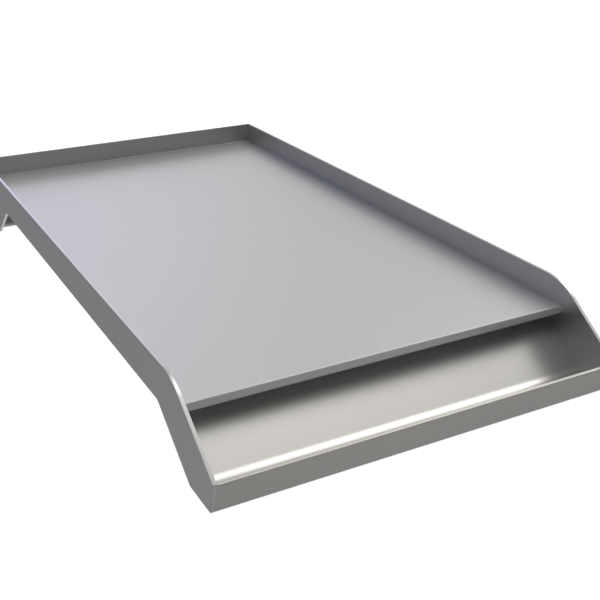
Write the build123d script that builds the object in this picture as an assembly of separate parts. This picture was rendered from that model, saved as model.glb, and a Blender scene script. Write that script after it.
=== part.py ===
from build123d import *
import math
import os

# Add-on griddle top for one section of a restaurant range: a thick cooking plate welded into a
# stainless steel tray with splash walls on three sides, a grease trough at the front and a foot
# under the back wall. Millimetres. The origin is the middle of the footprint, on the surface it stands
# on; +X is to the right of the cook, who stands at -Y, and +Z is up.

# Overall sizes
overall_width = 305.0
overall_depth = 590.0
splash_height = 65.0

# Stock
sheet = 2.8
inside_bend = 3.0
plate_thickness = 6.0
bar_thickness = 5.0
bar_height = 16.0
edge_break = 0.5

# Cooking plate
plate_top = 45.5
plate_setback = 56.0

# Side wall outline; the drop is how far the walls reach below the plate between trough and foot
band_drop = 4.3
lip_height = 22.5
lip_lean = 6.0
slope_angle = 35.7
brow_radius = 48.0
band_bend_radius = 8.0

# Where the side walls' two slopes meet the ground, from the front and from the back
front_slope_foot = 37.0
rear_slope_foot = 46.5

# Grease trough: its slope meets its floor in a wide cove, and its lip is bent up sharply
flange_length = 17.0
cove_radius = 14.0
lip_corner = 1.5

# Foot that the back wall stands on, bent forward from its lower edge
foot_length = 34.0

# Stiffeners under the plate, and how far each end stops short of the side wall
bar_spacing = 125.0
bar_end_gap = 24.0

# Welds: the two legs of each fillet, the room left beside an end weld for grinding, and the
# length and spacing of the stitches
seal_leg = 1.0
joint_leg = 2.4
weld_room = 0.4
stitch_leg = 3.0
stitch_length = 24.0
stitch_pitch = 62.0

# Places worked out from the sizes above
half_width = overall_width / 2
half_inside = half_width - sheet
front = -overall_depth / 2
back = overall_depth / 2
back_inside = back - sheet
plate_front = front + plate_setback
plate_bottom = plate_top - plate_thickness
flange_bottom = plate_bottom - sheet
band_bottom = plate_bottom - band_drop
outside_bend = inside_bend + sheet
slope = math.tan(math.radians(slope_angle))
brow = front + (splash_height - lip_height) / slope
front_slope_start = front + front_slope_foot
rear_slope_end = back - rear_slope_foot
foot_front = back - foot_length
# The slope of the trough stands in from the side walls' edges, to take the end welds
slope_inset = (joint_leg + weld_room) / math.sin(math.radians(slope_angle))
trough_bend = front_slope_start - slope_inset
trough_flange_start = trough_bend + flange_bottom / slope
trough_flange_end = trough_flange_start + flange_length


def save(node, *solids):
    """Write one sub-part as its own STEP file, named after its node."""
    shape = solids[0] if len(solids) == 1 else Compound(children=list(solids))
    shape.label = node
    export_step(shape, os.path.join("parts", node + ".step"))


def box(x_low, x_high, y_low, y_high, z_low, z_high):
    """A box between two places on each axis."""
    size = (x_high - x_low, y_high - y_low, z_high - z_low)
    centre = ((x_low + x_high) / 2, (y_low + y_high) / 2, (z_low + z_high) / 2)
    return Pos(*centre) * Box(*size)


def on_both_sides(node, right_solids):
    """Save the right-hand solids and their mirror images on the left."""
    save(node + "_right", *right_solids)
    save(node + "_left", *[mirror(solid, Plane.YZ) for solid in right_solids])


# Sheet metal


def side_wall():
    """Right splash wall: a flat blank that drops to the trough in front and to the foot behind."""
    corners = [
        ((front + lip_lean, 0), lip_corner),
        ((front, lip_height), 0),
        ((brow, splash_height), brow_radius),
        ((back_inside, splash_height), 0),
        ((back_inside, 0), 0),
        ((rear_slope_end, 0), outside_bend),
        ((rear_slope_end - band_bottom / slope, band_bottom), band_bend_radius),
        ((front_slope_start + band_bottom / slope, band_bottom), band_bend_radius),
        ((front_slope_start, 0), outside_bend),
    ]
    points = [point for point, radius in corners]
    radii = [radius for point, radius in corners]
    outline = FilletPolyline(*points, radius=radii, close=True)
    blank = make_face(Plane.YZ.offset(half_inside) * outline)
    return extrude(blank, amount=sheet, dir=(1, 0, 0))


def bent_sheet(points, radii):
    """Sheet as wide as the tray, with its underside on the line through the points."""
    underside = FilletPolyline(*points, radius=radii)
    section = offset(underside, amount=sheet, side=Side.LEFT, closed=True)
    return extrude(make_face(Plane.YZ * section), amount=half_inside, both=True)


def trough_points():
    """Underside of the trough from the top of its lip to the end of its flange."""
    return [
        (front, lip_height),
        (front + lip_lean, 0),
        (trough_bend, 0),
        (trough_flange_start, flange_bottom),
        (trough_flange_end, flange_bottom),
    ]


def grease_trough():
    """Trough bent from one sheet, with a sharp bend at its lip and the lip's top dressed level."""
    trough = bent_sheet(trough_points(), [0, cove_radius + sheet, inside_bend])
    lip_foot = Vector(0, front + lip_lean, 0)
    lip_bend = trough.edges().filter_by(Axis.X).sort_by_distance(lip_foot)[:2]
    trough = fillet(lip_bend, lip_corner)
    lip_back = front + 2 * sheet
    return trough - box(-half_width, half_width, front - sheet, lip_back, lip_height, splash_height)


def back_wall():
    """Back splash wall, bent from one sheet with the foot that it stands on."""
    return bent_sheet([(foot_front, 0), (back, 0), (back, splash_height)], [outside_bend])


def griddle_plate():
    """Cooking plate, with its front edges broken so that a scraper doesn't catch."""
    plate = box(-half_inside, half_inside, plate_front, back_inside, plate_bottom, plate_top)
    front_edges = plate.faces().sort_by(Axis.Y)[0].edges().filter_by(Axis.X)
    return chamfer(front_edges, edge_break)


def stiffener(place):
    """Flat bar on edge across the underside of the plate."""
    end = half_inside - bar_end_gap
    half_bar = bar_thickness / 2
    return box(-end, end, place - half_bar, place + half_bar, plate_bottom - bar_height, plate_bottom)


# Welds


def fillet_section(start, toward, up, leg):
    """Triangle of a fillet weld, with its root at the start and its legs along two directions."""
    return make_face(Polyline(start, start + toward * leg, start + up * leg, close=True))


def fillet_weld(start, run, toward, up, leg):
    """Straight fillet weld along the run, from its start."""
    section = fillet_section(Vector(*start), Vector(*toward), Vector(*up), leg)
    return extrude(section, amount=abs(Vector(*run).length), dir=Vector(*run).normalized())


def trough_end_weld():
    """Weld under the trough's slope, in its corner with the right side wall, between two bends."""
    turn = math.radians(slope_angle)
    run_up = Vector(0, math.cos(turn), math.sin(turn))
    outward = Vector(0, math.sin(turn), -math.cos(turn))
    cove_reach = (cove_radius + sheet) * math.tan(turn / 2)
    flange_reach = outside_bend * math.tan(turn / 2)
    length = flange_bottom / math.sin(turn) - cove_reach - flange_reach
    foot = Vector(half_inside, trough_bend, 0) + run_up * cove_reach
    return fillet_weld(tuple(foot), tuple(run_up * length), (-1, 0, 0), tuple(outward), joint_leg)


def foot_end_weld():
    """Weld on top of the foot, in its corner with the right side wall."""
    run = (0, back_inside - inside_bend - foot_front, 0)
    return fillet_weld((half_inside, foot_front, sheet), run, (-1, 0, 0), (0, 0, 1), joint_leg)


def seal_weld():
    """Ground fillet that closes the plate's joint with the left, back and right walls."""
    path = Polyline(
        (-half_inside, plate_front + edge_break, plate_top),
        (-half_inside, back_inside, plate_top),
        (half_inside, back_inside, plate_top),
        (half_inside, plate_front + edge_break, plate_top),
    )
    section = fillet_section(path @ 0, Vector(1, 0, 0), Vector(0, 0, 1), seal_leg)
    return sweep(section, path=path, transition=Transition.RIGHT)


def corner_weld():
    """Weld that fills the open upright corner of the back and right walls, ground round."""
    centre = Pos(half_inside, back_inside, outside_bend)
    height = splash_height - outside_bend
    column = Cylinder(sheet, height, align=(Align.CENTER, Align.CENTER, Align.MIN))
    quarter = Box(sheet, sheet, height, align=(Align.MIN, Align.MIN, Align.MIN))
    return centre * (column & quarter)


def stitch_starts(low, high):
    """Where evenly spaced stitches start between two places, centred between them."""
    count = int((high - low - stitch_length) // stitch_pitch) + 1
    used = (count - 1) * stitch_pitch + stitch_length
    first = (low + high - used) / 2
    return [first + index * stitch_pitch for index in range(count)]


def cross_stitches(place, height, toward, up, leg):
    """Stitches in a row across the underside of the plate."""
    end = half_inside - bar_end_gap
    run = (stitch_length, 0, 0)
    return [fillet_weld((x, place, height), run, toward, up, leg) for x in stitch_starts(-end, end)]


os.makedirs("parts", exist_ok=True)

save("griddle_plate", griddle_plate())
on_both_sides("side_wall", [side_wall()])
save("back_wall", back_wall())
save("grease_trough", grease_trough())

forward = (0, -1, 0)
rearward = (0, 1, 0)
downward = (0, 0, -1)

bar_middle = (trough_flange_end + back_inside) / 2
bar_places = {
    "front": bar_middle - bar_spacing,
    "middle": bar_middle,
    "rear": bar_middle + bar_spacing,
}
for name, place in bar_places.items():
    save("stiffener_" + name, stiffener(place))
    bar_front = place - bar_thickness / 2
    bar_back = place + bar_thickness / 2
    stitches = cross_stitches(bar_front, plate_bottom, forward, downward, stitch_leg)
    stitches += cross_stitches(bar_back, plate_bottom, rearward, downward, stitch_leg)
    save("stiffener_weld_" + name, *stitches)

save("plate_seal_weld", seal_weld())
on_both_sides("back_corner_weld", [corner_weld()])
on_both_sides("trough_end_weld", [trough_end_weld()])
on_both_sides("foot_end_weld", [foot_end_weld()])

flange_leg = sheet - edge_break
save("trough_flange_weld", *cross_stitches(trough_flange_end, plate_bottom, rearward, downward, flange_leg))
save("plate_back_weld", *cross_stitches(back_inside, plate_bottom, forward, downward, stitch_leg))

side_run = (0, stitch_length, 0)
side_stitches = [
    fillet_weld((half_inside, y, plate_bottom), side_run, (-1, 0, 0), downward, stitch_leg)
    for y in stitch_starts(trough_flange_end, back_inside)
]
on_both_sides("plate_under_weld", side_stitches)
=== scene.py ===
import bpy
import bmesh
import numpy as np
from math import radians, degrees, sin, cos, tan, sqrt, pi
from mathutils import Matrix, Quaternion, Vector


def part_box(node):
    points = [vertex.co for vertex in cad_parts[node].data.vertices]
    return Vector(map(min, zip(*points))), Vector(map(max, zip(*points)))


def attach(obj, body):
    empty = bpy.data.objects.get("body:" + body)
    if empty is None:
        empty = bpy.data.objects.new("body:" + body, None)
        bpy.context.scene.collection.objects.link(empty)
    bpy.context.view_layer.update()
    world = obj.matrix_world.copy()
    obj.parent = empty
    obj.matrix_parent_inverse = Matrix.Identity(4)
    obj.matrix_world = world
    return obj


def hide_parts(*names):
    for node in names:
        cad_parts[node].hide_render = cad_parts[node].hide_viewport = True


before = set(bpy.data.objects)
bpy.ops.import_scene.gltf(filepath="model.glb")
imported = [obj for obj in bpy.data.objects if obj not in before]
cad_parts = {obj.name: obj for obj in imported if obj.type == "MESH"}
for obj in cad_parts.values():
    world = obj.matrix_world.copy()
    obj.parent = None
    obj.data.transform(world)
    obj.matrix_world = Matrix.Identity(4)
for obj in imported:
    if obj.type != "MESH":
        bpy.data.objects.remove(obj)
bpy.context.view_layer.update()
mm = 0.001

# Sizes of the tray that the bends and cut edges need; the rest is read from the frame
tray = {
    "lipHeight": 22.5 * mm,
    "lipLean": 6.0 * mm,
    "slopeAngle": radians(35.7),
    "browRadius": 48.0 * mm,
    "bandBottom": 35.2 * mm,
    "bandBendRadius": 8.0 * mm,
    "insideBend": 3.0 * mm,
    "frontSlopeFoot": 37.0 * mm,
    "rearSlopeFoot": 46.5 * mm,
    "foot": 34.0 * mm,
    "flange": 17.0 * mm,
    "slopeInset": 2.8 * mm,
    "cove": 14.0 * mm,
    "lipCorner": 1.5 * mm,
}

wallLow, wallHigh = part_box("side_wall_right")
plateLow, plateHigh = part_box("griddle_plate")
sheet = wallHigh.x - wallLow.x
inside = wallLow.x                       # half the width between the side walls
front = wallLow.y
backInside = wallHigh.y
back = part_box("back_wall")[1].y
top = wallHigh.z
plateTop = plateHigh.z
plateBottom = plateLow.z
slope = tan(tray["slopeAngle"])
outsideBend = tray["insideBend"] + sheet
flangeBottom = plateBottom - sheet
frontSlopeStart = front + tray["frontSlopeFoot"]
rearSlopeEnd = back - tray["rearSlopeFoot"]
footFront = back - tray["foot"]
troughBend = frontSlopeStart - tray["slopeInset"] / sin(tray["slopeAngle"])

# Largest turn, in degrees, between two points of an arc
arcStep = {"bend": 3, "edge": 15}
print("frame loaded")


# Straight runs joined by tangent arcs: each arc starts radius * tan(turn / 2) from its corner.
# Gives the points and, for each point, whether the stretch after it is bent.
def roundCorners(corners, radii, stepDegrees):
    corners = np.asarray(corners, float)
    count = len(corners)
    points, bent = [], []
    for i in range(count):
        corner, radius = corners[i], radii[i]
        if radius <= 0:
            points.append(corner[None])
            bent.append([False])
            continue
        inward = corner - corners[i - 1]
        onward = corners[(i + 1) % count] - corner
        inward = inward / np.linalg.norm(inward)
        onward = onward / np.linalg.norm(onward)
        side = inward[0] * onward[1] - inward[1] * onward[0]
        turn = np.arctan2(side, inward @ onward)
        reach = radius * tan(abs(turn) / 2)
        normal = np.array([-inward[1], inward[0]]) * np.sign(turn)
        centre = corner - inward * reach + normal * radius
        steps = max(2, int(np.ceil(abs(degrees(turn)) / stepDegrees)))
        angle = np.linspace(0, abs(turn), steps + 1)[:, None]
        points.append(centre - normal * radius * np.cos(angle) + inward * radius * np.sin(angle))
        bent.append([True] * steps + [False])
    return np.concatenate(points), np.concatenate(bent)


# A line of corners moved sideways by a distance: each goes along its bisector, distance / cos(turn / 2)
def shiftCorners(corners, distance):
    corners = np.asarray(corners, float)
    runs = np.diff(corners, axis=0)
    runs /= np.linalg.norm(runs, axis=1)[:, None]
    normals = np.stack([-runs[:, 1], runs[:, 0]], 1)
    before = np.concatenate([normals[:1], normals])
    after = np.concatenate([normals, normals[-1:]])
    bisector = (before + after) / (1 + np.sum(before * after, axis=1))[:, None]
    return corners + bisector * distance


# A mesh from a grid of points (rows, columns, 3) that closes on itself along the columns.
# The first and last rows are capped. The two rows of grain are the axes that the UV map reads.
def gridPiece(name, grid, smooth, grain, mirrored=False):
    rows, columns = grid.shape[:2]
    points = grid.reshape(-1, 3).copy()
    row, column = np.meshgrid(np.arange(rows - 1), np.arange(columns), indexing="ij")
    nextColumn = (column + 1) % columns
    quads = np.stack([
        row * columns + column,
        row * columns + nextColumn,
        (row + 1) * columns + nextColumn,
        (row + 1) * columns + column,
    ], -1).reshape(-1, 4)
    startCap = np.arange(columns)[::-1]
    endCap = np.arange(columns) + (rows - 1) * columns
    smoothFaces = np.broadcast_to(smooth, (rows - 1, columns)).reshape(-1)
    if mirrored:
        points[:, 0] *= -1
        quads, startCap, endCap = quads[:, ::-1], startCap[::-1], endCap[::-1]
    mesh = bpy.data.meshes.new(name)
    mesh.from_pydata(points.tolist(), [], quads.tolist() + [startCap.tolist(), endCap.tolist()])
    mesh.polygons.foreach_set("use_smooth", np.append(smoothFaces, [False, False]))
    addGrain(mesh, grain)
    return mesh


# UV map whose U runs across the grain, so that reflections spread the way they do on brushed steel
def addGrain(mesh, grain):
    corner = np.empty(len(mesh.loops), np.int32)
    mesh.loops.foreach_get("vertex_index", corner)
    points = np.empty(len(mesh.vertices) * 3)
    mesh.vertices.foreach_get("co", points)
    points = points.reshape(-1, 3)[corner]
    uv = mesh.uv_layers.new(name="grain")
    uv.data.foreach_set("uv", (points @ np.asarray(grain, float).T).reshape(-1))
    mesh.update()


# The faces point outwards when the signed volumes of the cones under the triangles add up above zero
def turnedOut(mesh):
    mesh.calc_loop_triangles()
    points = np.empty(len(mesh.vertices) * 3)
    mesh.vertices.foreach_get("co", points)
    corner = np.empty(len(mesh.loop_triangles) * 3, np.int32)
    mesh.loop_triangles.foreach_get("vertices", corner)
    a, b, c = points.reshape(-1, 3)[corner.reshape(-1, 3)].transpose(1, 0, 2)
    return np.sum(a * np.cross(b, c)) > 0


# Turns a mesh the right way out, gives it its finish and puts it in the place of its nodes
def place(mesh, material, slot, *nodes):
    if not turnedOut(mesh):
        mesh.flip_normals()
    piece = bpy.data.objects.new(mesh.name, mesh)
    bpy.context.scene.collection.objects.link(piece)
    mesh.materials.append(material)
    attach(piece, "root")
    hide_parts(*nodes)
    return piece


# Stops along a carried section, the outer ones close to its ends, so that a bend is shaded evenly
sheetStops = {"count": 60, "end": 0.4 * mm}


# A closed section in the YZ plane carried along X between the side walls
def carryAcross(name, section, bent, xLow, xHigh, grain):
    low, high = xLow + sheetStops["end"], xHigh - sheetStops["end"]
    across = np.linspace(low, high, sheetStops["count"])
    across = np.concatenate([[xLow], across, [xHigh]])
    grid = np.zeros((len(across), len(section), 3))
    grid[:, :, 0] = across[:, None]
    grid[:, :, 1:] = section[None]
    return gridPiece(name, grid, bent[None], grain)


# What U and V of a grain map measure. The grain runs front to back on acrossX and side to side on
# the others; alongUpright is for sheet that stands, sideUpright for the side walls and column for
# the welds at the back corners.
acrossX = [(1, 0, 0), (0, 1, 0.7)]
alongX = [(0, 1, 0.7), (1, 0, 0)]
alongUpright = [(0, 0.2, 1), (1, 0, 0)]
sideUpright = [(0, 0, 1), (0.3, 1, 0)]
columnGrain = [(0, 0, 1), (1, 1, 0)]


# A flat blank cut from sheet, lying in the YZ plane. Across its thickness the outline moves in by
# edge * (1 - sin a) at a depth of edge * (1 - cos a) from each face, which rounds the cut edge.
def cutBlank(name, outline, bent, xLow, xHigh, edge, grain, mirrored=False, steps=4):
    angle = np.linspace(0, pi / 2, steps + 1)
    inset = edge * (1 - np.sin(angle))
    depth = edge * (1 - np.cos(angle))
    inset = np.concatenate([inset, inset[::-1]])
    depth = np.concatenate([xLow + depth, xHigh - depth[::-1]])
    runs = np.roll(outline, -1, axis=0) - outline
    runs /= np.linalg.norm(runs, axis=1)[:, None]
    after = np.stack([-runs[:, 1], runs[:, 0]], 1)
    before = np.roll(after, 1, axis=0)
    inward = (before + after) / (1 + np.sum(before * after, axis=1))[:, None]
    grid = np.zeros((len(inset), len(outline), 3))
    grid[:, :, 0] = depth[:, None]
    grid[:, :, 1:] = outline[None] + inward[None] * inset[:, None, None]
    smooth = np.ones((len(inset) - 1, len(outline)), bool)
    smooth[steps] = bent
    return gridPiece(name, grid, smooth, grain, mirrored)


# A fillet weld as laid: round its root the radius is leg / (cos f + sin f), swollen by sin 2f, and
# along the run it rises and falls in rounded ripples that lean with f, and closes round at its ends.
def layBead(points, toward, up, leg, bead):
    stretch = np.linalg.norm(np.diff(points, axis=0), axis=1)
    distance = np.concatenate([[0], np.cumsum(stretch)])[:, None]
    f = np.linspace(0, pi / 2, bead["facets"])[None]
    phase = (distance / bead["ripplePitch"] + bead["rippleLean"] * np.sin(2 * f)) % 1
    ripple = np.sqrt(4 * phase * (1 - phase))
    fromEnd = np.minimum(distance, distance[-1] - distance)
    reach = np.clip(fromEnd / (bead["endRound"] * leg), bead["tip"], 1)
    radius = leg / (np.cos(f) + np.sin(f)) * (1 + bead["swell"] * np.sin(2 * f))
    radius = radius * (1 - bead["rippleDepth"] * (1 - ripple)) * np.sqrt(reach * (2 - reach))
    toward = np.broadcast_to(toward, points.shape)[:, None]
    up = np.broadcast_to(up, points.shape)[:, None]
    outward = np.cos(f)[..., None] * toward + np.sin(f)[..., None] * up
    skin = points[:, None] + radius[..., None] * outward
    return np.concatenate([points[:, None], skin], axis=1)


# One mesh from several grids of points, such as a row of stitches
def joinGrids(name, grids):
    meshes = [gridPiece("stitch", grid, True, acrossX) for grid in grids]
    joiner = bmesh.new()
    for mesh in meshes:
        if not turnedOut(mesh):
            mesh.flip_normals()
        joiner.from_mesh(mesh)
        bpy.data.meshes.remove(mesh)
    joined = bpy.data.meshes.new(name)
    joiner.to_mesh(joined)
    joiner.free()
    return joined


# Brushed stainless steel: noise stretched along the grain shifts colour, roughness and height a little,
# a broad slow noise adds the marks of handling, and the tangent runs across the grain
brushing = {
    "grainDetail": 3, "grainRoughness": 0.6, "handlingDetail": 5, "handlingDistortion": 0.4,
    "low": 0.3, "high": 0.7, "depth": 0.05 * mm,
}


def brushedSteel(name, look):
    material = bpy.data.materials.new(name)
    material.use_nodes = True
    nodes, links = material.node_tree.nodes, material.node_tree.links
    shader = nodes["Principled BSDF"]
    shader.inputs["Metallic"].default_value = look["metallic"]
    shader.inputs["Anisotropic"].default_value = look["anisotropy"]
    coordinates = nodes.new("ShaderNodeTexCoord")

    grainPlace = nodes.new("ShaderNodeMapping")
    grainPlace.inputs["Scale"].default_value = look["grain"]
    grain = nodes.new("ShaderNodeTexNoise")
    grain.inputs["Scale"].default_value = 1
    grain.inputs["Detail"].default_value = brushing["grainDetail"]
    grain.inputs["Roughness"].default_value = brushing["grainRoughness"]
    links.new(coordinates.outputs["Object"], grainPlace.inputs["Vector"])
    links.new(grainPlace.outputs["Vector"], grain.inputs["Vector"])

    handling = nodes.new("ShaderNodeTexNoise")
    handling.inputs["Scale"].default_value = look["handlingScale"]
    handling.inputs["Detail"].default_value = brushing["handlingDetail"]
    handling.inputs["Distortion"].default_value = brushing["handlingDistortion"]
    links.new(coordinates.outputs["Object"], handling.inputs["Vector"])

    both = nodes.new("ShaderNodeMix")
    both.inputs["Factor"].default_value = look["handlingShare"]
    links.new(grain.outputs["Fac"], both.inputs["A"])
    links.new(handling.outputs["Fac"], both.inputs["B"])

    tone = nodes.new("ShaderNodeValToRGB")
    light = np.array(look["color"])
    tone.color_ramp.elements[0].position = brushing["low"]
    tone.color_ramp.elements[0].color = (*(light * (1 - look["contrast"])), 1)
    tone.color_ramp.elements[1].position = brushing["high"]
    tone.color_ramp.elements[1].color = (*(light * (1 + look["contrast"])), 1)
    links.new(both.outputs["Result"], tone.inputs["Fac"])
    links.new(tone.outputs["Color"], shader.inputs["Base Color"])

    rough = nodes.new("ShaderNodeMapRange")
    rough.inputs["From Min"].default_value = brushing["low"]
    rough.inputs["From Max"].default_value = brushing["high"]
    rough.inputs["To Min"].default_value = look["roughness"] - look["roughnessSpread"]
    rough.inputs["To Max"].default_value = look["roughness"] + look["roughnessSpread"]
    links.new(both.outputs["Result"], rough.inputs["Value"])
    links.new(rough.outputs["Result"], shader.inputs["Roughness"])

    bump = nodes.new("ShaderNodeBump")
    bump.inputs["Strength"].default_value = look["bump"]
    bump.inputs["Distance"].default_value = brushing["depth"]
    links.new(both.outputs["Result"], bump.inputs["Height"])
    links.new(bump.outputs["Normal"], shader.inputs["Normal"])

    tangent = nodes.new("ShaderNodeTangent")
    tangent.direction_type = "UV_MAP"
    tangent.uv_map = "grain"
    links.new(tangent.outputs["Tangent"], shader.inputs["Tangent"])
    return material


platePolish = brushedSteel("groundPlate", {
    "color": (0.63, 0.63, 0.65), "contrast": 0.03, "grain": (1400, 12, 400), "handlingScale": 9,
    "handlingShare": 0.45, "roughness": 0.42, "roughnessSpread": 0.04, "bump": 0.12, "anisotropy": 0.2,
    "metallic": 0.6,
})
sheetPolish = brushedSteel("brushedSheet", {
    "color": (0.6, 0.595, 0.6), "contrast": 0.04, "grain": (900, 10, 1400), "handlingScale": 14,
    "handlingShare": 0.4, "roughness": 0.36, "roughnessSpread": 0.05, "bump": 0.15, "anisotropy": 0.4,
    "metallic": 0.9,
})
troughPolish = brushedSteel("brushedTrough", {
    "color": (0.62, 0.61, 0.595), "contrast": 0.02, "grain": (14, 900, 900), "handlingScale": 16,
    "handlingShare": 0.45, "roughness": 0.34, "roughnessSpread": 0.03, "bump": 0.06, "anisotropy": 0.55,
    "metallic": 0.95,
})
millFinish = brushedSteel("millFinish", {
    "color": (0.52, 0.515, 0.51), "contrast": 0.08, "grain": (12, 600, 600), "handlingScale": 30,
    "handlingShare": 0.6, "roughness": 0.45, "roughnessSpread": 0.08, "bump": 0.25, "anisotropy": 0.2,
    "metallic": 0.95,
})
groundWeld = brushedSteel("groundWeld", {
    "color": (0.44, 0.44, 0.45), "contrast": 0.06, "grain": (500, 500, 500), "handlingScale": 40,
    "handlingShare": 0.5, "roughness": 0.5, "roughnessSpread": 0.08, "bump": 0.4, "anisotropy": 0.2,
    "metallic": 0.9,
})
laidBead = brushedSteel("laidBead", {
    "color": (0.5, 0.47, 0.43), "contrast": 0.18, "grain": (300, 300, 300), "handlingScale": 120,
    "handlingShare": 0.6, "roughness": 0.4, "roughnessSpread": 0.12, "bump": 0.6, "anisotropy": 0.0,
    "metallic": 0.95,
})
print("finishes ready")


wallShape = {"edge": 0.4 * mm, "tip": 0.9 * mm}


# Outline of a side wall. Each lower slope meets the band at its own foot plus or minus the band's
# height / slope, and the brow starts (top - lip height) / slope behind the front.
def sideWallOutline():
    corners = [
        (front + tray["lipLean"], 0),
        (frontSlopeStart, 0),
        (frontSlopeStart + tray["bandBottom"] / slope, tray["bandBottom"]),
        (rearSlopeEnd - tray["bandBottom"] / slope, tray["bandBottom"]),
        (rearSlopeEnd, 0),
        (backInside + wallShape["edge"], 0),
        (backInside + wallShape["edge"], top),
        (front + (top - tray["lipHeight"]) / slope, top),
        (front, tray["lipHeight"]),
    ]
    radii = [tray["lipCorner"], outsideBend, tray["bandBendRadius"], tray["bandBendRadius"], outsideBend,
             wallShape["tip"], wallShape["tip"], tray["browRadius"], wallShape["tip"]]
    return roundCorners(corners, radii, arcStep["bend"])


outline, bent = sideWallOutline()
for side, mirrored in (("right", False), ("left", True)):
    wall = cutBlank("sideWall" + side.title(), outline, bent, inside, wallHigh.x, wallShape["edge"],
                    sideUpright, mirrored)
    place(wall, sheetPolish, "splash_sheet", "side_wall_" + side)
print("side walls made")


# Cooking plate: a flat section whose two front edges are rounded
plateShape = {"topEdge": 0.8 * mm, "bottomEdge": 0.4 * mm}
corners = [
    (plateLow.y, plateBottom),
    (backInside, plateBottom),
    (backInside, plateTop),
    (plateLow.y, plateTop),
]
radii = [plateShape["bottomEdge"], 0, 0, plateShape["topEdge"]]
section, bent = roundCorners(corners, radii, arcStep["edge"])
plate = carryAcross("griddlePlate", section, bent, -inside, inside, acrossX)
place(plate, platePolish, "cooking_plate", "griddle_plate")
print("cooking plate made")


# A sheet bent along its underside corners, with its cut edges rounded
def bendSheet(underside, bends, endEdges, levelStart):
    topside = shiftCorners(underside, sheet)
    if levelStart:
        run = topside[1] - topside[0]
        topside[0] += run * (underside[0][1] - topside[0][1]) / run[1]
    corners = np.concatenate([underside, topside[::-1]])
    radii = [endEdges[0]] + [pair[0] for pair in bends] + [endEdges[1]] * 2
    radii += [pair[1] for pair in bends[::-1]] + [endEdges[0]]
    return roundCorners(corners, radii, arcStep["bend"])


# The trough from its lip to its flange; the flange starts flange height / slope behind the cove's bend
trough = {"lipEdge": 0.5 * mm, "flangeEdge": 0.3 * mm, "reach": 0.4 * mm}
flangeStart = troughBend + flangeBottom / slope
troughUnderside = np.array([
    (front, tray["lipHeight"]),
    (front + tray["lipLean"], 0),
    (troughBend, 0),
    (flangeStart, flangeBottom),
    (flangeStart + tray["flange"], flangeBottom),
])
upBend = (outsideBend, tray["insideBend"])
downBend = (tray["insideBend"], outsideBend)
lipBend = (tray["lipCorner"], tray["lipCorner"])
coveBend = (tray["cove"] + sheet, tray["cove"])
cutEdges = (trough["lipEdge"], trough["flangeEdge"])
section, bent = bendSheet(troughUnderside, [lipBend, coveBend, downBend], cutEdges, True)
# The trough reaches into the walls' rounded edges, so that the corner is flush
panEnd = inside + trough["reach"]
pan = carryAcross("greaseTrough", section, bent, -panEnd, panEnd, alongX)
place(pan, troughPolish, "trough_sheet", "grease_trough")

# The back wall from the front of its foot to its top
backShape = {"footEdge": 0.4 * mm, "topEdge": 0.5 * mm}
backUnderside = np.array([(footFront, 0), (back, 0), (back, top)])
cutEdges = (backShape["footEdge"], backShape["topEdge"])
section, bent = bendSheet(backUnderside, [upBend], cutEdges, False)
backWall = carryAcross("backWall", section, bent, -inside, inside, alongUpright)
place(backWall, sheetPolish, "splash_sheet", "back_wall")
print("trough and back wall bent")


# Stiffeners: flat bars whose two lower edges are rounded
barShape = {"edge": 0.4 * mm}
for name in ("front", "middle", "rear"):
    low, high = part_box("stiffener_" + name)
    corners = [(low.y, low.z), (high.y, low.z), (high.y, high.z), (low.y, high.z)]
    section, bent = roundCorners(corners, [barShape["edge"]] * 2 + [0, 0], arcStep["edge"])
    bar = carryAcross("stiffener" + name.title(), section, bent, low.x, high.x, alongUpright)
    place(bar, millFinish, "underside_steel", "stiffener_" + name)
print("stiffeners made")


# Fillet round three sides of the plate, ground slightly hollow: the section is an arc between its
# two legs, mitred at the corners, and hand grinding makes its size drift by slow sine waves
sealWeld = {
    "leg": 1.0 * mm, "hollow": 0.12 * mm, "facets": 9, "stops": 60, "front": 0.5 * mm,
    "drift": 0.02, "driftRates": (0.31, 0.17), "driftShift": 1,
}


def sealWeldGrid():
    t = np.linspace(0, 1, sealWeld["facets"])
    hollow = sealWeld["hollow"] * np.sin(pi * t) / sqrt(2)
    out = np.append(sealWeld["leg"] * (1 - t) - hollow, 0)
    high = np.append(sealWeld["leg"] * t - hollow, 0)
    start = plateLow.y + sealWeld["front"]
    along = np.linspace(0, 1, sealWeld["stops"])[:, None]
    level = 0 * along
    reach = start + (backInside - out - start) * along
    left = np.stack([level + out - inside, reach, level + high], -1)
    across = np.stack([(inside - out) * (2 * along - 1), level + backInside - out, level + high], -1)
    right = left[::-1] * (-1, 1, 1)
    grid = np.concatenate([left, across[1:], right[1:]])
    stop = np.arange(len(grid))[:, None]
    fast, slow = sealWeld["driftRates"]
    swing = 1 + sealWeld["drift"] * (np.sin(stop * fast) + np.sin(stop * slow + sealWeld["driftShift"]))
    grid[:, :, 2] = grid[:, :, 2] * swing + plateTop
    return grid


seal = gridPiece("plateSealWeld", sealWeldGrid(), True, acrossX)
place(seal, groundWeld, "ground_weld", "plate_seal_weld")


# Quarter column in the open corner of two walls; its rim comes in by round * (1 - cos a) at the top
cornerWeld = {"round": 0.6 * mm, "facets": 12, "steps": 5}


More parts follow.
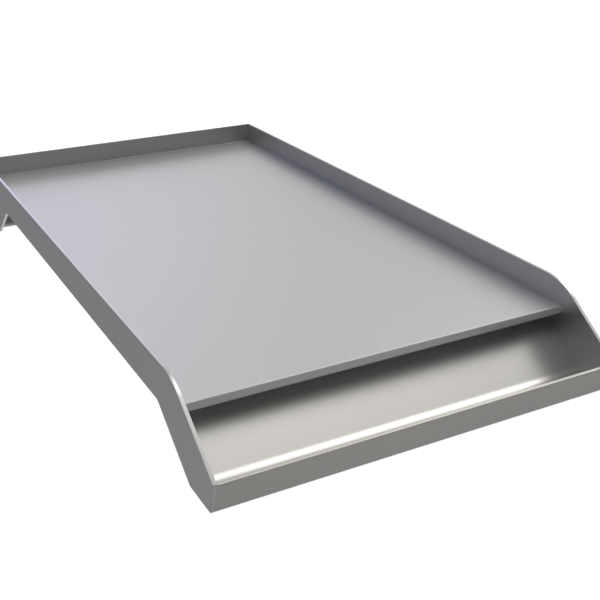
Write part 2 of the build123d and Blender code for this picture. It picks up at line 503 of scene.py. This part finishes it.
def cornerWeldGrid():
    turn = np.linspace(0, pi / 2, cornerWeld["facets"])
    a = np.linspace(0, pi / 2, cornerWeld["steps"])
    radius = np.concatenate([[sheet], sheet - cornerWeld["round"] * (1 - np.cos(a))])
    height = np.concatenate([[outsideBend], top - cornerWeld["round"] * (1 - np.sin(a))])
    grid = np.zeros((len(radius), len(turn) + 1, 3))
    grid[:, 1:, 0] = radius[:, None] * np.cos(turn)
    grid[:, 1:, 1] = radius[:, None] * np.sin(turn)
    grid[:, :, 2] = height[:, None]
    return grid + np.array([inside, backInside, 0])


for side, mirrored in (("right", False), ("left", True)):
    name = "backCornerWeld" + side.title()
    column = gridPiece(name, cornerWeldGrid(), True, columnGrain, mirrored)
    place(column, groundWeld, "ground_weld", "back_corner_weld_" + side)
print("ground welds made")


# Welds that stay as laid. Stitches and their spacing are as long as on the tray; the legs are a
# little shorter, so that the swollen face stays within them.
bead = {
    "facets": 8, "spacing": 0.4 * mm, "ripplePitch": 2.1 * mm, "rippleLean": 0.3, "rippleDepth": 0.14,
    "swell": 0.14, "endRound": 0.9, "tip": 0.02, "stitch": 24 * mm, "pitch": 62 * mm,
    "leg": 2.9 * mm, "endLeg": 2.3 * mm, "flangeLeg": 2.2 * mm,
}


# Weld under the trough's slope, in its corner with the right side wall, between two bends. The straight
# stretch starts radius * tan(turn / 2) up from the cove's corner and stops as far below the flange's.
def troughEndBead():
    turn = tray["slopeAngle"]
    runUp = np.array([0, cos(turn), sin(turn)])
    low = (tray["cove"] + sheet) * tan(turn / 2)
    high = flangeBottom / sin(turn) - outsideBend * tan(turn / 2)
    walk = np.linspace(low, high, int((high - low) / bead["spacing"]))[:, None]
    path = np.array([inside, troughBend, 0]) + runUp * walk
    return layBead(path, np.array([-1.0, 0, 0]), np.array([0, sin(turn), -cos(turn)]), bead["endLeg"], bead)


# Weld on top of the foot, in its corner with the right side wall
def footEndBead():
    low, high = footFront, backInside - tray["insideBend"]
    walk = np.linspace(low, high, int((high - low) / bead["spacing"]))
    path = np.stack([inside + 0 * walk, walk, sheet + 0 * walk], 1)
    return layBead(path, np.array([-1.0, 0, 0]), np.array([0, 0, 1.0]), bead["endLeg"], bead)


# A row of stitches from start, each one stitch long, stepping along the run to the end of the row
def stitchRow(low, high, run, toward, leg):
    low, high, run = np.array(low), np.array(high), np.array(run, float)
    span = (high - low) @ run
    count = int(round((span - bead["stitch"]) / bead["pitch"])) + 1
    walk = np.linspace(0, bead["stitch"], int(bead["stitch"] / bead["spacing"]))[:, None]
    toward, downward = np.array(toward, float), np.array([0, 0, -1.0])
    starts = np.linspace(0, span - bead["stitch"], count)
    return [layBead(low + run * (first + walk), toward, downward, leg, bead) for first in starts]


for side, mirrored in (("right", False), ("left", True)):
    mesh = gridPiece("troughEndWeld" + side.title(), troughEndBead(), True, acrossX, mirrored)
    place(mesh, laidBead, "weld_bead", "trough_end_weld_" + side)
    mesh = gridPiece("footEndWeld" + side.title(), footEndBead(), True, acrossX, mirrored)
    place(mesh, laidBead, "weld_bead", "foot_end_weld_" + side)

for name in ("front", "middle", "rear"):
    node = "stiffener_weld_" + name
    low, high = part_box(node)
    barLow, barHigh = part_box("stiffener_" + name)
    rows = []
    for y, toward in ((barLow.y, (0, -1, 0)), (barHigh.y, (0, 1, 0))):
        start, end = (low.x, y, plateBottom), (high.x, y, plateBottom)
        rows += stitchRow(start, end, (1, 0, 0), toward, bead["leg"])
    place(joinGrids("stiffenerWeld" + name.title(), rows), laidBead, "weld_bead", node)

low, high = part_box("trough_flange_weld")
start, end = (low.x, low.y, plateBottom), (high.x, low.y, plateBottom)
row = stitchRow(start, end, (1, 0, 0), (0, 1, 0), bead["flangeLeg"])
place(joinGrids("troughFlangeWeld", row), laidBead, "weld_bead", "trough_flange_weld")

low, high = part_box("plate_back_weld")
start, end = (low.x, high.y, plateBottom), (high.x, high.y, plateBottom)
row = stitchRow(start, end, (1, 0, 0), (0, -1, 0), bead["leg"])
place(joinGrids("plateBackWeld", row), laidBead, "weld_bead", "plate_back_weld")

for side, sign in (("right", 1), ("left", -1)):
    node = "plate_under_weld_" + side
    low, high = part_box(node)
    x = sign * inside
    start, end = (x, low.y, plateBottom), (x, high.y, plateBottom)
    row = stitchRow(start, end, (0, 1, 0), (-sign, 0, 0), bead["leg"])
    place(joinGrids("plateUnderWeld" + side.title(), row), laidBead, "weld_bead", node)
print("beads laid")


# Plain pale floor that glows a little; polished steel doesn't mirror it, but the studio below it
floorShape = {"size": 6.0, "glow": 0.86, "color": (0.9, 0.9, 0.9), "roughness": 0.9}


def paleFloor():
    half = floorShape["size"] / 2
    corners = [(-half, -half, 0), (half, -half, 0), (half, half, 0), (-half, half, 0)]
    mesh = bpy.data.meshes.new("floor")
    mesh.from_pydata(corners, [], [(0, 1, 2, 3)])
    floor = bpy.data.objects.new("floor", mesh)
    bpy.context.scene.collection.objects.link(floor)
    material = bpy.data.materials.new("paleFloor")
    material.use_nodes = True
    shader = material.node_tree.nodes["Principled BSDF"]
    shader.inputs["Base Color"].default_value = (*floorShape["color"], 1)
    shader.inputs["Roughness"].default_value = floorShape["roughness"]
    shader.inputs["Emission Color"].default_value = (1, 1, 1, 1)
    shader.inputs["Emission Strength"].default_value = floorShape["glow"]
    mesh.materials.append(material)
    floor.visible_glossy = False


paleFloor()


# Studio round the tray. Each light is a soft round patch of sky: its brightness falls off with the
# angle from its middle, as the cosine raised to a power, so a larger power is a smaller light.
# Azimuth is measured from straight behind the tray, clockwise from above. Under the lights is a
# dim glow from below the horizon, blended into the dark above it.
studio = {
    "below": (0.2, 0.195, 0.19),
    "above": (0, 0, 0),
    "horizonBlend": 0.12,
    "lights": [
        # Low behind the tray, mirrored by the plate
        {"azimuth": 5, "elevation": 18, "power": 14, "color": (0.55, 0.62, 1.3)},
        {"azimuth": 15, "elevation": 24, "power": 25, "color": (0.95, 0.87, 0.4)},
        {"azimuth": 62, "elevation": 31, "power": 14, "color": (1.85, 1.86, 1.66)},
        # Row of small lights high on the right, mirrored as the bright line along the trough's cove
        {"azimuth": 58, "elevation": 64, "power": 90, "color": (0.9, 0.9, 0.95)},
        {"azimuth": 84, "elevation": 71, "power": 90, "color": (2.8, 2.7, 2.65)},
        {"azimuth": 78, "elevation": 59, "power": 70, "color": (2.5, 2.4, 2.35)},
        {"azimuth": 82, "elevation": 49, "power": 90, "color": (3.0, 2.95, 2.9)},
        # Wide lights over the trough's slope, overhead, to the left, in front and to the right
        {"azimuth": 112, "elevation": 57, "power": 12, "color": (0.16, 0.15, 0.14)},
        {"azimuth": 0, "elevation": 89, "power": 8, "color": (1.15, 1.17, 1.1)},
        {"azimuth": -80, "elevation": 20, "power": 8, "color": (0.66, 0.68, 0.71)},
        {"azimuth": 180, "elevation": 12, "power": 6, "color": (0.18, 0.19, 0.19)},
        {"azimuth": 90, "elevation": 20, "power": 8, "color": (0.3, 0.34, 0.45)},
        # Light from below, for the lip, the walls and the foot
        {"azimuth": 122, "elevation": -50, "power": 6, "color": (0.17, 0.17, 0.17)},
        {"azimuth": 15, "elevation": -50, "power": 12, "color": (0.6, 0.58, 0.59)},
    ],
}


def studioSky():
    world = bpy.data.worlds.new("studio")
    bpy.context.scene.world = world
    world.use_nodes = True
    nodes, links = world.node_tree.nodes, world.node_tree.links
    background = nodes["Background"]
    direction = nodes.new("ShaderNodeTexCoord").outputs["Generated"]

    parts = nodes.new("ShaderNodeSeparateXYZ")
    links.new(direction, parts.inputs["Vector"])
    rise = nodes.new("ShaderNodeMapRange")
    rise.interpolation_type = "SMOOTHSTEP"
    rise.inputs["From Min"].default_value = -studio["horizonBlend"]
    rise.inputs["From Max"].default_value = studio["horizonBlend"]
    links.new(parts.outputs["Z"], rise.inputs["Value"])
    total = nodes.new("ShaderNodeMix")
    total.data_type = "RGBA"
    total.inputs["A"].default_value = (*studio["below"], 1)
    total.inputs["B"].default_value = (*studio["above"], 1)
    links.new(rise.outputs["Result"], total.inputs["Factor"])
    light = total.outputs["Result"]

    for lamp in studio["lights"]:
        azimuth, elevation = radians(lamp["azimuth"]), radians(lamp["elevation"])
        facing = nodes.new("ShaderNodeVectorMath")
        facing.operation = "DOT_PRODUCT"
        level = cos(elevation)
        facing.inputs[1].default_value = (sin(azimuth) * level, cos(azimuth) * level, sin(elevation))
        links.new(direction, facing.inputs[0])
        clip = nodes.new("ShaderNodeMath")
        clip.operation = "MAXIMUM"
        clip.inputs[1].default_value = 0
        links.new(facing.outputs["Value"], clip.inputs[0])
        fall = nodes.new("ShaderNodeMath")
        fall.operation = "POWER"
        fall.inputs[1].default_value = lamp["power"]
        links.new(clip.outputs[0], fall.inputs[0])
        shine = nodes.new("ShaderNodeVectorMath")
        shine.operation = "SCALE"
        shine.inputs[0].default_value = lamp["color"]
        links.new(fall.outputs[0], shine.inputs["Scale"])
        add = nodes.new("ShaderNodeVectorMath")
        add.operation = "ADD"
        links.new(light, add.inputs[0])
        links.new(shine.outputs[0], add.inputs[1])
        light = add.outputs[0]

    # What the lens sees past the floor is plain white
    seen = nodes.new("ShaderNodeLightPath")
    white = nodes.new("ShaderNodeMix")
    white.data_type = "RGBA"
    white.inputs["B"].default_value = (1, 1, 1, 1)
    links.new(seen.outputs["Is Camera Ray"], white.inputs["Factor"])
    links.new(light, white.inputs["A"])
    links.new(white.outputs["Result"], background.inputs["Color"])


studioSky()
bpy.context.scene.view_settings.view_transform = "Standard"

# Azimuth and elevation are those of the lens, seen from the tray's front; its target is on the
# floor, a little in front of the tray's middle and to the right
view = {
    "azimuth": -28.042, "elevation": 24.12, "roll": -0.366, "distance": 0.8401,
    "target": (0.0351, -0.0482, 0.0), "lens": 58.954, "sensor": 36, "nearest": 0.01,
}
camera = bpy.data.objects.new("camera", bpy.data.cameras.new("camera"))
bpy.context.scene.collection.objects.link(camera)
azimuth, elevation = radians(view["azimuth"]), radians(view["elevation"])
outward = Vector((sin(azimuth) * cos(elevation), -cos(azimuth) * cos(elevation), sin(elevation)))
camera.location = Vector(view["target"]) + outward * view["distance"]
tilt = Quaternion((0, 0, 1), radians(view["roll"]))
camera.rotation_euler = (outward.to_track_quat("Z", "Y") @ tilt).to_euler()
camera.data.lens = view["lens"]
camera.data.sensor_width = view["sensor"]
camera.data.clip_start = view["nearest"]
bpy.context.scene.camera = camera
print("studio ready")
